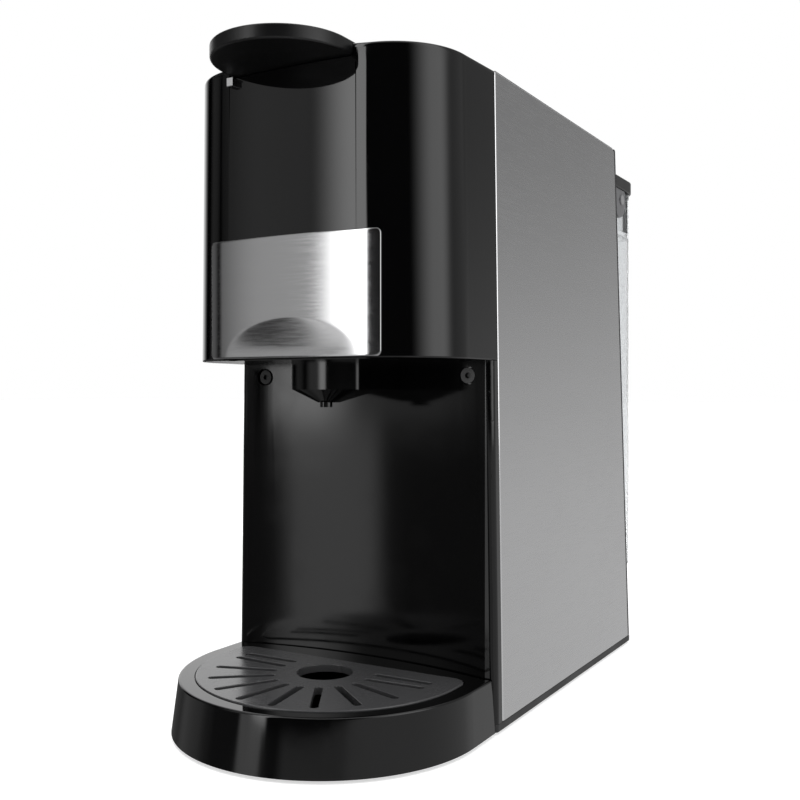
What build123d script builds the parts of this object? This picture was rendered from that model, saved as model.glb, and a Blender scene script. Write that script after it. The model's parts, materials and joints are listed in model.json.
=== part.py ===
from build123d import *
import os
from math import asin, cos, degrees, radians, sin

os.makedirs("parts", exist_ok=True)

# Frame: X to the right, Y to the back, Z up; the floor is Z = 0 and the middle of the machine is X = Y = 0.

# Outer skin
TOP_Z = 253.0
BASE_Z = 1.0
BASE_TOP_Z = 4.0
SIDE_HALF = 61.84
SIDE_DRAFT = 0.0142
PANEL_FRONT_Y = -57.6
COLUMN_FRONT_Y = -63.2
REAR_Y_FLOOR = 102.6
REAR_SLOPE = 0.0534
PANEL_T = 1.0
WALL = 2.4

# Cup bay: a hollow wall behind the cup
BAY_R = 225.0
BAY_HALF = 57.0
BAY_Y = COLUMN_FRONT_Y - (BAY_R ** 2 - BAY_HALF ** 2) ** 0.5
BAY_DEPTH = BAY_Y + BAY_R - COLUMN_FRONT_Y
LEDGE_HALF = 55.0
LEDGE_Z = BASE_TOP_Z + 0.6

# Head
HEAD_Z = 142.0
HEAD_FRONT_Y = -110.7
HEAD_FACE_R = 300.0
HEAD_CORNER_R = 30.0
HEAD_CORNER_X = 27.0
HEAD_SIDE_Y = -79.0
COVER_Z = 251.2
BREW_Y = -86.0

# Badge plate
BADGE_HALF = 38.1
BADGE_Z = 142.6
BADGE_TOP_Z = 187.5
BADGE_T = 0.8
SCOOP_HALF = 30.0
SCOOP_HEIGHT = 15.0
SCOOP_DEPTH = 4.5

# Lid
LID_R = 26.5
LID_Y = -113.3
LID_Z = 249.2
LID_T = 5.3
HINGE_Y = -46.0
HINGE_Z = LID_Z + LID_T / 2
LID_CLEAR = 0.6
TUB_Z = 246.5
TUB_FLOOR_Z = 248.7
TUB_WALL = 1.5
PIN_R = 1.0
PIN_BORE_R = 1.35

# Brewing parts
CHAMBER_R = 22.0
CHAMBER_BORE_R = 20.4
CHAMBER_Z = 196.0
ADAPTER_TOP_Z = 243.5
PLUNGER_R = 17.5
SPOUT_HALF = 15.8
SPOUT_NOSE_Y = -93.4
SPOUT_FACE_R = 25.0
SPOUT_CORNER_R = 2.6
SPOUT_WALL = 2.0
SPOUT_BACK_Y = COLUMN_FRONT_Y + BAY_DEPTH - 0.8
SPOUT_Z = 131.0
NOZZLE_Z = 124.2
NOZZLE_R = 2.4
NOZZLE_LIP = 1.8
NOZZLE_PLUG_R = 4.6
NOZZLE_BACK_Y = -70.0
NOZZLE_TAPER = 0.24
DUCT_R = 4.4

# Buttons
BUTTON_X = 14.0
BUTTON_Y = -24.0
BUTTON_R = 8.0

# Drip tray
TRAY_Z = 1.3
TRAY_TOP_Z = 21.2
TRAY_Y = -82.0
TRAY_R = 61.5
TRAY_RIM_Y = -80.2
TRAY_RIM_R = 60.0
TRAY_BACK_Y = -63.7
TRAY_FLOOR_Z = 4.0
BASIN_Z = 6.4
SEAT_Z = 18.2
GRILLE_R = 53.2
GRILLE_Y = -80.9
GRILLE_BACK_Y = -69.3
GRILLE_TOP_Z = 21.7
GRILLE_T = 3.1
FAN_Y = -88.5
DRAIN_Y = -87.0
DRAIN_R = 10.8
TAB_X = 30.0

# Water tank
SHELF_TOP_Z = 34.0
SHELF_HALF = 42.0
SHELF_BACK_Y = 133.0
TANK_Z = 34.4
TANK_TOP_Z = 237.5
TANK_HALF = 52.5
TANK_BACK_Y = 143.5
TANK_CORNER_R = 15.0
TANK_GAP = 1.2
TANK_WALL = 2.0
SOCKET_Y = 118.0
EAR_Y = 115.4
EAR_Z = 232.4
POCKET_X = 50.0
HANDLE_X = 53.8
TANK_HINGE_Y = 98.0
TANK_HINGE_Z = 241.0


def half_width(z):
    """Half width of the leaning side skin at height z."""
    return SIDE_HALF - SIDE_DRAFT * z


def rear_y(z):
    """Outer face of the leaning rear cover at height z."""
    return REAR_Y_FLOOR - REAR_SLOPE * z


def box(x0, x1, y0, y1, z0, z1, mode=Mode.ADD):
    """Block between two corners."""
    with BuildSketch(Plane.XY.offset(z0)) as plan:
        with Locations(((x0 + x1) / 2, (y0 + y1) / 2)):
            Rectangle(x1 - x0, y1 - y0)
    extrude(plan.sketch, amount=z1 - z0, mode=mode)


def post(x, y, z0, z1, radius, mode=Mode.ADD):
    """Upright round post."""
    with BuildSketch(Plane.XY.offset(z0)) as plan:
        with Locations((x, y)):
            Circle(radius)
    extrude(plan.sketch, amount=z1 - z0, mode=mode)


def rod(axis, centre, length, radius, mode=Mode.ADD):
    """Round rod starting at centre and running along the +axis direction."""
    with BuildSketch(Plane(origin=centre, z_dir=axis)) as end:
        Circle(radius)
    extrude(end.sketch, amount=length, mode=mode)


def loft_between(z0, z1, section, mode=Mode.ADD):
    """Straight loft between one section drawn at two heights."""
    ends = []
    for z in (z0, z1):
        with BuildSketch(Plane.XY.offset(z)) as plan:
            section(z)
        ends.append(plan.sketch)
    loft(ends, ruled=True, mode=mode)


def body_section(z, front, inset, rear_gap):
    """Rectangle between the side skins, reaching back to the rear cover."""
    back = rear_y(z) - rear_gap
    with Locations((0, (front + back) / 2)):
        Rectangle(2 * (half_width(z) - inset), back - front)


def side_strip(z, side, front, outer, inner, rear_gap):
    """Thin rectangle along one leaning side skin."""
    back = rear_y(z) - rear_gap
    x = side * (half_width(z) - (outer + inner) / 2)
    with Locations((x, (front + back) / 2)):
        Rectangle(inner - outer, back - front)


def bowed_plan(nose_y, face_r, corner_x, corner_r, w, back):
    """Closed plan with a gently bowed front and two round corners, w half wide at its back line."""
    face_y = nose_y + face_r
    corner_y = face_y - ((face_r - corner_r) ** 2 - corner_x ** 2) ** 0.5
    bow = degrees(asin(corner_x / (face_r - corner_r)))
    with BuildLine() as outline:
        Polyline((-corner_x - corner_r, corner_y), (-w, back), (w, back), (corner_x + corner_r, corner_y))
        CenterArc((corner_x, corner_y), corner_r, 270 + bow, 90 - bow)
        CenterArc((0, face_y), face_r, 270 - bow, 2 * bow)
        CenterArc((-corner_x, corner_y), corner_r, 180, 90 - bow)
    make_face(outline.edges())


def head_outline(z, inset, w, back):
    """Plan of the head, w half wide at its back line."""
    bowed_plan(HEAD_FRONT_Y + inset, HEAD_FACE_R - inset, HEAD_CORNER_X + SIDE_DRAFT * (TOP_Z - z),
               HEAD_CORNER_R - inset, w, back)


def spout_plan(inset, back, size=1.0):
    """Plan of the spout, shrunk towards the brewing axis by size."""
    half = (SPOUT_HALF - inset) * size
    corner_r = (SPOUT_CORNER_R - inset) * size
    bowed_plan(BREW_Y + (SPOUT_NOSE_Y + inset - BREW_Y) * size, (SPOUT_FACE_R - inset) * size, half - corner_r,
               corner_r, half, BREW_Y + (back - BREW_Y) * size)


def head_section(z, inset, back):
    """Plan of the head, its sides opening towards the panels."""
    side_x = HEAD_CORNER_X + SIDE_DRAFT * (TOP_Z - z) + HEAD_CORNER_R - inset
    flare = (half_width(z) - inset - side_x) / (PANEL_FRONT_Y - HEAD_SIDE_Y)
    head_outline(z, inset, side_x + flare * (back - HEAD_SIDE_Y), back)


def head_plate_section(z, inset, back):
    """Plan of a plate inside the head, with straight sides."""
    head_outline(z, inset, HEAD_CORNER_X + SIDE_DRAFT * (TOP_Z - z) + HEAD_CORNER_R - inset, back)


def tongue(front_y, back_y, half):
    """Strip with a half-round front end."""
    with BuildLine() as outline:
        Line((-half, front_y), (-half, back_y))
        Line((-half, back_y), (half, back_y))
        Line((half, back_y), (half, front_y))
        CenterArc((0, front_y), half, 180, 180)
    make_face(outline.edges())


def tank_section(z, inset, back_inset):
    """Plan of the water tank: leaning front, round rear corners."""
    front = rear_y(z) + TANK_GAP + inset
    back = TANK_BACK_Y - back_inset
    half = TANK_HALF - inset
    r = TANK_CORNER_R - back_inset
    with BuildLine() as outline:
        Polyline((-half, back - r), (-half, front), (half, front), (half, back - r))
        CenterArc((half - r, back - r), r, 0, 90)
        Line((half - r, back), (r - half, back))
        CenterArc((r - half, back - r), r, 90, 90)
    make_face(outline.edges())


def bay_slice(radius, z0, z1, half=BAY_HALF, front=COLUMN_FRONT_Y, mode=Mode.ADD):
    """Slice of the upright cylinder that hollows the bay wall, from the front line back."""
    with BuildSketch(Plane.XY.offset(z0)) as plan:
        with Locations((0, BAY_Y)):
            Circle(radius)
        with Locations((0, front + BAY_DEPTH)):
            Rectangle(2 * half, 2 * BAY_DEPTH, mode=Mode.INTERSECT)
    extrude(plan.sketch, amount=z1 - z0, mode=mode)


def upright_edges(builder):
    """Edges that run up the leaning sides."""
    return builder.edges().filter_by(lambda e: abs(e.tangent_at(0.5).Z) > 0.9)


def save(part, label):
    """Name one sub-part and write it out."""
    part.label = label
    export_step(part, f"parts/{label}.step")


# ---------------------------------------------------------------- base and outer skin

FEET = [(x, y) for y in (-112.0, 20.0, 122.0) for x in (-34.0, 34.0)]
BASE_SCREWS = [(x, y) for y in (-50.0, 92.0) for x in (-55.6, 55.6)]
FOOT_R = 7.0
FOOT_STEM_R = 3.0
SCREW_R = 1.5
SCREW_HEAD_R = 3.0
TONGUE_R = 50.0

with BuildPart() as base_plate:
    box(-SIDE_HALF, SIDE_HALF, COLUMN_FRONT_Y, REAR_Y_FLOOR - 0.2, BASE_Z, BASE_TOP_Z)
    fillet(base_plate.edges().filter_by(Axis.Z).group_by(Axis.Y)[0], 2.5)
    with BuildSketch(Plane.XY.offset(BASE_Z)):
        tongue(TRAY_Y, COLUMN_FRONT_Y + 1, TONGUE_R)
    extrude(amount=2.0)
    box(-SHELF_HALF, SHELF_HALF, REAR_Y_FLOOR - 1, SHELF_BACK_Y, BASE_Z, BASE_TOP_Z)
    for x, y in FEET:
        post(x, y, BASE_Z, BASE_TOP_Z, FOOT_STEM_R, mode=Mode.SUBTRACT)
    for x, y in BASE_SCREWS:
        post(x, y, BASE_Z, BASE_TOP_Z, SCREW_R, mode=Mode.SUBTRACT)
        post(x, y, BASE_Z, BASE_Z + 1.8, SCREW_HEAD_R, mode=Mode.SUBTRACT)
save(base_plate.part, "base_plate")

with BuildPart() as rubber_feet:
    for x, y in FEET:
        post(x, y, 0, BASE_Z, FOOT_R)
        post(x, y, BASE_Z, BASE_Z + 1.8, FOOT_STEM_R)
    fillet(rubber_feet.edges().group_by(Axis.Z)[0], 0.3)
save(rubber_feet.part, "rubber_feet")

with BuildPart() as base_screws:
    for x, y in BASE_SCREWS:
        post(x, y, BASE_Z + 0.6, BASE_Z + 1.8, SCREW_HEAD_R - 0.1)
        post(x, y, BASE_Z + 1.8, 13.0, SCREW_R)
        post(x, y, BASE_Z + 0.6, BASE_Z + 1.3, 1.0, mode=Mode.SUBTRACT)
save(base_screws.part, "base_screws")

SHELL_OUT = PANEL_T + 0.1
SHELL_IN = SHELL_OUT + 2.2
SLOT_Z = 10.5
WELL_X = 48.6
WELL_Z = 136.4
WELL_R = 3.6
REAR_SKIN = 2.0
REAR_SCREWS = [(side * (half_width(z) - 5.2), z) for z in (40.0, 130.0, 236.0) for side in (-1, 1)]

with BuildPart() as column_shell:
    loft_between(BASE_TOP_Z, HEAD_Z, lambda z: body_section(z, COLUMN_FRONT_Y, 0, rear_y(z) - PANEL_FRONT_Y + 0.15))
    fillet(upright_edges(column_shell).group_by(Axis.Y)[0], 2.6)
    loft_between(BASE_TOP_Z, COVER_Z, lambda z: body_section(z, PANEL_FRONT_Y - 0.15, SHELL_OUT, REAR_SKIN))
    loft_between(BASE_TOP_Z, COVER_Z,
                 lambda z: body_section(z, COLUMN_FRONT_Y + WALL, SHELL_IN, REAR_SKIN - 1), mode=Mode.SUBTRACT)
    bay_slice(BAY_R + WALL, BASE_TOP_Z, HEAD_Z)
    for side in (-1, 1):
        box(side * TAB_X - 7.6, side * TAB_X + 7.6, COLUMN_FRONT_Y - 1, COLUMN_FRONT_Y + BAY_DEPTH + 4,
            SLOT_Z - 2.0, SLOT_Z + 2.0, mode=Mode.SUBTRACT)
        rod((0, 1, 0), (side * WELL_X, COLUMN_FRONT_Y + WALL, WELL_Z), 4.0, WELL_R + 1.6)
        rod((0, 1, 0), (side * WELL_X, COLUMN_FRONT_Y - 1, WELL_Z), 5.4, WELL_R, mode=Mode.SUBTRACT)
        rod((0, 1, 0), (side * WELL_X, COLUMN_FRONT_Y - 1, WELL_Z), 12.0, SCREW_R, mode=Mode.SUBTRACT)
    for x, y in BASE_SCREWS:
        post(x, y, BASE_TOP_Z, 14.0, 4.0)
        post(x, y, BASE_TOP_Z, 13.0, SCREW_R, mode=Mode.SUBTRACT)
    for x, z in REAR_SCREWS:
        rod((0, -1, 0), (x, rear_y(z) - REAR_SKIN - 0.3, z), 9.0, 2.4)
        rod((0, -1, 0), (x, rear_y(z) - REAR_SKIN, z), 8.0, SCREW_R, mode=Mode.SUBTRACT)
    bay_slice(BAY_R, BASE_TOP_Z, HEAD_Z, mode=Mode.SUBTRACT)
save(column_shell.part, "column_shell")

with BuildPart() as bay_screws:
    for side in (-1, 1):
        rod((0, 1, 0), (side * WELL_X, COLUMN_FRONT_Y + 2.2, WELL_Z), 2.2, SCREW_HEAD_R)
        rod((0, 1, 0), (side * WELL_X, COLUMN_FRONT_Y + 4.4, WELL_Z), 6.0, SCREW_R)
        rod((0, 1, 0), (side * WELL_X, COLUMN_FRONT_Y + 2.2, WELL_Z), 1.2, 1.1, mode=Mode.SUBTRACT)
save(bay_screws.part, "bay_screws")

for side, name in ((-1, "side_panel_left"), (1, "side_panel_right")):
    with BuildPart() as side_panel:
        loft_between(BASE_TOP_Z, TOP_Z,
                     lambda z: side_strip(z, side, PANEL_FRONT_Y + 0.1, 0, PANEL_T, REAR_SKIN + 0.1))
        corner = side_panel.edges().filter_by(Axis.X).group_by(Axis.Z)[-1].sort_by(Axis.Y)[-1]
        fillet(corner, 3.0)
    save(side_panel.part, name)

GLAND_X = 52.0
GLAND_Z = 18.0
GLAND_R = 5.0
VENT_Z = 205.0

with BuildPart() as rear_cover:
    loft_between(BASE_TOP_Z, TOP_Z, lambda z: body_section(z, rear_y(z) - REAR_SKIN, 0, 0))
    fillet(rear_cover.edges().filter_by(Axis.X).group_by(Axis.Z)[-1].sort_by(Axis.Y)[-1], 1.2)
    for i in range(6):
        for side in (-1, 1):
            box(side * 20 - 14, side * 20 + 14, 80, 110, VENT_Z + 6 * i, VENT_Z + 6 * i + 2.4, mode=Mode.SUBTRACT)
    rod((0, 1, 0), (GLAND_X, 90, GLAND_Z), 30, GLAND_R, mode=Mode.SUBTRACT)
    rod((0, 1, 0), (0, 90, 12), 30, 4.0, mode=Mode.SUBTRACT)
    for x, z in REAR_SCREWS:
        rod((0, 1, 0), (x, 70, z), 50, SCREW_R, mode=Mode.SUBTRACT)
save(rear_cover.part, "rear_cover")

with BuildPart() as rear_screws:
    for x, z in REAR_SCREWS:
        rod((0, 1, 0), (x, rear_y(z) + 0.2, z), 0.6, SCREW_HEAD_R - 0.4)
        rod((0, -1, 0), (x, rear_y(z) + 0.2, z), 9.0, SCREW_R - 0.05)
        rod((0, 1, 0), (x, rear_y(z) + 0.4, z), 2.0, 1.0, mode=Mode.SUBTRACT)
save(rear_screws.part, "rear_screws")

with BuildPart() as cord_gland:
    gland_y = rear_y(GLAND_Z)
    rod((0, 1, 0), (GLAND_X, gland_y - REAR_SKIN - 3, GLAND_Z), REAR_SKIN + 3.5, GLAND_R - 0.05)
    rod((0, 1, 0), (GLAND_X, gland_y + 0.45, GLAND_Z), 2.0, GLAND_R + 2.0)
    with BuildSketch(Plane(origin=(GLAND_X, gland_y + 2.45, GLAND_Z), z_dir=(0, 1, 0))):
        Circle(GLAND_R - 0.4)
    extrude(amount=11.0, taper=6)
    rod((0, 1, 0), (GLAND_X, gland_y - 10, GLAND_Z), 40, 2.6, mode=Mode.SUBTRACT)
save(cord_gland.part, "cord_gland")

# ---------------------------------------------------------------- head

BOSS_T = SCOOP_DEPTH + 2.0
SCOOP_CIRCLE_R = (SCOOP_HALF ** 2 + SCOOP_HEIGHT ** 2) / (2 * SCOOP_HEIGHT)
SCOOP_CENTRE_Z = BADGE_Z + SCOOP_HEIGHT - SCOOP_CIRCLE_R
SCOOP_CENTRE_D = (SCOOP_HALF ** 2 - SCOOP_DEPTH ** 2) / (2 * SCOOP_DEPTH)
SCOOP_R = (SCOOP_CENTRE_D ** 2 + SCOOP_CIRCLE_R ** 2) ** 0.5
NOTCH_HALF = LID_R + LID_CLEAR + TUB_WALL

with BuildPart() as head_shell:
    loft_between(HEAD_Z, COVER_Z, lambda z: head_section(z, 0, PANEL_FRONT_Y - 0.15))
    loft_between(HEAD_Z, COVER_Z, lambda z: head_section(z, WALL, PANEL_FRONT_Y + 1), mode=Mode.SUBTRACT)
    box(-NOTCH_HALF, NOTCH_HALF, HEAD_FRONT_Y - 5, HEAD_FRONT_Y + 5, TUB_Z, COVER_Z, mode=Mode.SUBTRACT)
    box(-SCOOP_HALF - 2, SCOOP_HALF + 2, HEAD_FRONT_Y - 5, HEAD_FRONT_Y + 5, HEAD_Z, BADGE_Z + SCOOP_HEIGHT + 2,
        mode=Mode.SUBTRACT)
save(head_shell.part, "head_shell")

with BuildPart() as scoop_boss:
    box(-SCOOP_HALF - 1.8, SCOOP_HALF + 1.8, HEAD_FRONT_Y - BADGE_T, HEAD_FRONT_Y - BADGE_T + BOSS_T,
        BADGE_Z, BADGE_Z + SCOOP_HEIGHT + 1.8)
    loft_between(BADGE_Z, BADGE_TOP_Z, lambda z: head_section(z, -BADGE_T, PANEL_FRONT_Y), mode=Mode.INTERSECT)

with BuildPart() as badge_plate:
    loft_between(BADGE_Z, BADGE_TOP_Z, lambda z: head_section(z, -BADGE_T, PANEL_FRONT_Y))
    loft_between(BADGE_Z, BADGE_TOP_Z, lambda z: head_section(z, 0, PANEL_FRONT_Y + 1), mode=Mode.SUBTRACT)
    with BuildSketch(Plane.XZ.offset(-PANEL_FRONT_Y)):
        with Locations((0, (BADGE_Z + BADGE_TOP_Z) / 2)):
            RectangleRounded(2 * BADGE_HALF, BADGE_TOP_Z - BADGE_Z, 1.8)
    extrude(amount=70, mode=Mode.INTERSECT)
    add(scoop_boss.part)
    with Locations((0, HEAD_FRONT_Y - BADGE_T - SCOOP_CENTRE_D, SCOOP_CENTRE_Z)):
        Sphere(SCOOP_R, mode=Mode.SUBTRACT)
save(badge_plate.part, "badge_plate")

with BuildPart() as head_floor:
    loft_between(HEAD_Z, HEAD_Z + WALL, lambda z: head_plate_section(z, WALL, COLUMN_FRONT_Y + BAY_DEPTH + WALL))
    box(-SCOOP_HALF - 2.2, SCOOP_HALF + 2.2, HEAD_FRONT_Y - 1, HEAD_FRONT_Y - BADGE_T + BOSS_T + 0.2,
        HEAD_Z, HEAD_Z + WALL, mode=Mode.SUBTRACT)
    post(0, BREW_Y, HEAD_Z, HEAD_Z + WALL, DUCT_R + 0.4, mode=Mode.SUBTRACT)
save(head_floor.part, "head_floor")

with BuildPart() as lid_tub:
    box(-NOTCH_HALF, NOTCH_HALF, HEAD_FRONT_Y, HINGE_Y + 5.5, TUB_Z, COVER_Z + 0.5)
    loft_between(TUB_Z, COVER_Z + 0.5, lambda z: head_section(z, 0.3, HINGE_Y + 6), mode=Mode.INTERSECT)

with BuildPart() as top_cover:
    loft_between(COVER_Z, TOP_Z, lambda z: head_section(z, 0, PANEL_FRONT_Y))
    loft_between(COVER_Z, TOP_Z, lambda z: body_section(z, PANEL_FRONT_Y - 1, SHELL_OUT, REAR_SKIN + 0.05))
    add(lid_tub.part)
    with BuildSketch(Plane.XY.offset(TUB_FLOOR_Z)):
        tongue(LID_Y, HINGE_Y + 3.8, LID_R + LID_CLEAR)
    extrude(amount=10, mode=Mode.SUBTRACT)
    post(0, BREW_Y, TUB_Z - 1, TOP_Z, CHAMBER_BORE_R, mode=Mode.SUBTRACT)
    rod((1, 0, 0), (-40, HINGE_Y, HINGE_Z), 80, PIN_R, mode=Mode.SUBTRACT)
    for side in (-1, 1):
        post(side * BUTTON_X, BUTTON_Y, COVER_Z - 1, TOP_Z + 1, BUTTON_R + 1.6, mode=Mode.SUBTRACT)
save(top_cover.part, "top_cover")

with BuildPart() as button_bezels:
    for side in (-1, 1):
        post(side * BUTTON_X, BUTTON_Y, COVER_Z - 1.0, TOP_Z + 0.2, BUTTON_R + 1.6)
        post(side * BUTTON_X, BUTTON_Y, COVER_Z - 2.0, TOP_Z + 1.0, BUTTON_R + 0.4, mode=Mode.SUBTRACT)
save(button_bezels.part, "button_bezels")

SWITCH_Z = 243.0
SWITCH_TOP_Z = 247.0

for side, name in ((-1, "button_left"), (1, "button_right")):
    with BuildPart() as button:
        post(side * BUTTON_X, BUTTON_Y, TOP_Z - 1.6, TOP_Z + 0.8, BUTTON_R)
        fillet(button.edges().group_by(Axis.Z)[-1], 0.6)
        post(side * BUTTON_X, BUTTON_Y, SWITCH_TOP_Z + 1.5, TOP_Z - 1.6, 3.0)
    save(button.part, name)

with BuildPart() as switch_board:
    box(-30, 30, -37, -12, SWITCH_Z, SWITCH_Z + 1.6)
    for side in (-1, 1):
        box(side * BUTTON_X - 3, side * BUTTON_X + 3, BUTTON_Y - 3, BUTTON_Y + 3, SWITCH_Z + 1.6, SWITCH_TOP_Z - 0.8)
        post(side * BUTTON_X, BUTTON_Y, SWITCH_TOP_Z - 0.8, SWITCH_TOP_Z, 1.6)
save(switch_board.part, "switch_board")

with BuildPart() as board_hangers:
    for x in (-27.0, 27.0):
        for y in (-34.0, -15.0):
            post(x, y, SWITCH_Z + 1.6, COVER_Z, 2.0)
save(board_hangers.part, "board_hangers")

# ---------------------------------------------------------------- lid lever

with BuildPart() as lid_shell:
    with BuildSketch(Plane.XY.offset(LID_Z)):
        tongue(LID_Y, HINGE_Y, LID_R)
    extrude(amount=LID_T)
    rod((1, 0, 0), (-LID_R, HINGE_Y, HINGE_Z), 2 * LID_R, LID_T / 2)
    top_rim = lid_shell.edges().group_by(Axis.Z)[-1].filter_by(lambda e: e.center().Y < HINGE_Y - 1)
    fillet(top_rim, 0.7)
    rod((1, 0, 0), (-40, HINGE_Y, HINGE_Z), 80, PIN_BORE_R, mode=Mode.SUBTRACT)
save(lid_shell.part, "lid_shell")

with BuildPart() as lid_plunger:
    post(0, BREW_Y, LID_Z - 4, LID_Z, PLUNGER_R)
    fillet(lid_plunger.edges().group_by(Axis.Z)[0], 0.8)
    post(0, BREW_Y, LID_Z - 4.5, LID_Z - 3, 12.0, mode=Mode.SUBTRACT)
save(lid_plunger.part, "lid_plunger")

with BuildPart() as lid_seal:
    post(0, BREW_Y, LID_Z - 5, LID_Z - 4, 16.0)
    post(0, BREW_Y, LID_Z - 5, LID_Z - 4, 13.0, mode=Mode.SUBTRACT)
save(lid_seal.part, "lid_seal")

with BuildPart() as piercing_pins:
    for i in range(3):
        angle = radians(90 + 120 * i)
        with BuildSketch(Plane.XY.offset(LID_Z - 3)):
            with Locations((6 * cos(angle), BREW_Y + 6 * sin(angle))):
                Circle(1.1)
        extrude(amount=-7.0, taper=7)
save(piercing_pins.part, "piercing_pins")

with BuildPart() as lid_hinge_pin:
    rod((1, 0, 0), (-NOTCH_HALF, HINGE_Y, HINGE_Z), 2 * NOTCH_HALF, PIN_R)
save(lid_hinge_pin.part, "lid_hinge_pin")

# ---------------------------------------------------------------- brewing parts

PORT_Z = 228.0
DUCT_TOP_R = 14.0

with BuildPart() as brew_chamber:
    post(0, BREW_Y, CHAMBER_Z, TUB_Z, CHAMBER_R)
    rod((0, 1, 0), (0, BREW_Y + CHAMBER_R - 2, PORT_Z), 8, 4.0)
    post(0, BREW_Y, CHAMBER_Z + 3, TUB_Z, CHAMBER_BORE_R, mode=Mode.SUBTRACT)
    post(0, BREW_Y, CHAMBER_Z - 1, CHAMBER_Z + 4, 9.0, mode=Mode.SUBTRACT)
    rod((0, 1, 0), (0, BREW_Y + 15, PORT_Z), 20, 2.0, mode=Mode.SUBTRACT)
save(brew_chamber.part, "brew_chamber")

with BuildPart() as capsule_adapter:
    post(0, BREW_Y, 240.0, ADAPTER_TOP_Z, CHAMBER_BORE_R - 0.4)
    with BuildSketch(Plane.XY.offset(240.0)):
        with Locations((0, BREW_Y)):
            Circle(18.0)
    with BuildSketch(Plane.XY.offset(CHAMBER_Z + 4)):
        with Locations((0, BREW_Y)):
            Circle(15.0)
    loft()
    with BuildSketch(Plane.XY.offset(ADAPTER_TOP_Z)):
        with Locations((0, BREW_Y)):
            Circle(16.5)
    with BuildSketch(Plane.XY.offset(CHAMBER_Z + 7)):
        with Locations((0, BREW_Y)):
            Circle(13.0)
    loft(mode=Mode.SUBTRACT)
    for i in range(6):
        post(7 * cos(radians(60 * i)), BREW_Y + 7 * sin(radians(60 * i)), CHAMBER_Z, CHAMBER_Z + 10, 1.0,
             mode=Mode.SUBTRACT)
save(capsule_adapter.part, "capsule_adapter")

with BuildPart() as outlet_duct:
    with BuildSketch(Plane.XY.offset(CHAMBER_Z)):
        with Locations((0, BREW_Y)):
            Circle(DUCT_TOP_R)
    with BuildSketch(Plane.XY.offset(CHAMBER_Z - 16)):
        with Locations((0, BREW_Y)):
            Circle(DUCT_R)
    loft()
    post(0, BREW_Y, SPOUT_Z + 4, CHAMBER_Z - 16, DUCT_R)
    with BuildSketch(Plane.XY.offset(CHAMBER_Z)):
        with Locations((0, BREW_Y)):
            Circle(DUCT_TOP_R - 2)
    with BuildSketch(Plane.XY.offset(CHAMBER_Z - 16)):
        with Locations((0, BREW_Y)):
            Circle(DUCT_R - 2)
    loft(mode=Mode.SUBTRACT)
    post(0, BREW_Y, SPOUT_Z + 3, CHAMBER_Z - 15.9, DUCT_R - 2, mode=Mode.SUBTRACT)
save(outlet_duct.part, "outlet_duct")

with BuildPart() as spout_housing:
    with BuildSketch(Plane.XY.offset(SPOUT_Z)):
        spout_plan(0, SPOUT_BACK_Y)
    extrude(amount=HEAD_Z - SPOUT_Z)
    with BuildSketch(Plane.XY.offset(SPOUT_Z + SPOUT_WALL)):
        spout_plan(SPOUT_WALL, SPOUT_BACK_Y - SPOUT_WALL)
    extrude(amount=HEAD_Z - SPOUT_Z, mode=Mode.SUBTRACT)
    post(0, BREW_Y, SPOUT_Z - 1, SPOUT_Z + 3, NOZZLE_PLUG_R, mode=Mode.SUBTRACT)
save(spout_housing.part, "spout_housing")

with BuildPart() as spout_nozzle:
    post(0, BREW_Y, SPOUT_Z, SPOUT_Z + 4, NOZZLE_PLUG_R)
    loft_between(NOZZLE_Z + NOZZLE_LIP, SPOUT_Z,
                 lambda z: spout_plan(0.6, NOZZLE_BACK_Y, 1.0 if z == SPOUT_Z else NOZZLE_TAPER))
    post(0, BREW_Y, NOZZLE_Z, NOZZLE_Z + NOZZLE_LIP + 0.2, NOZZLE_R)
    post(0, BREW_Y, NOZZLE_Z - 1, SPOUT_Z + 5, 1.4, mode=Mode.SUBTRACT)
    with BuildSketch(Plane.XY.offset(SPOUT_Z + 4)):
        with Locations((0, BREW_Y)):
            Circle(NOZZLE_PLUG_R - 0.8)
    with BuildSketch(Plane.XY.offset(NOZZLE_Z + 3.4)):
        with Locations((0, BREW_Y)):
            Circle(1.4)
    loft(mode=Mode.SUBTRACT)
save(spout_nozzle.part, "spout_nozzle")

# ---------------------------------------------------------------- hot water parts

HEATER_Y = -20.0
HEATER_Z = 166.0
HEATER_TOP_Z = 206.0
PUMP_Z = 42.0

with BuildPart() as heater_shelf:
    loft_between(HEATER_Z - 4, HEATER_Z - 1.5, lambda z: body_section(z, -52, SHELL_IN, rear_y(z) - 14))
    post(0, HEATER_Y, HEATER_Z - 6, HEATER_Z, 6.0, mode=Mode.SUBTRACT)
    for x, y in ((-26, -38), (26, -38), (-26, -2), (26, -2)):
        post(x, y, HEATER_Z - 1.5, HEATER_Z, 4.0)
save(heater_shelf.part, "heater_shelf")

with BuildPart() as thermoblock:
    box(-32, 32, HEATER_Y - 22, HEATER_Y + 22, HEATER_Z, HEATER_TOP_Z)
    fillet(thermoblock.edges().filter_by(Axis.Z), 5.0)
    for i in range(5):
        box(-34, 34, HEATER_Y - 24, HEATER_Y + 24, HEATER_Z + 6 + 6.4 * i, HEATER_Z + 8 + 6.4 * i, mode=Mode.SUBTRACT)
        box(-29, 29, HEATER_Y - 19, HEATER_Y + 19, HEATER_Z + 5.9 + 6.4 * i, HEATER_Z + 8.1 + 6.4 * i)
    post(0, HEATER_Y, HEATER_Z - 8, HEATER_Z + 2, 4.0)
    post(0, HEATER_Y, HEATER_TOP_Z, HEATER_TOP_Z + 8, 4.0)
save(thermoblock.part, "thermoblock")

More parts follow.
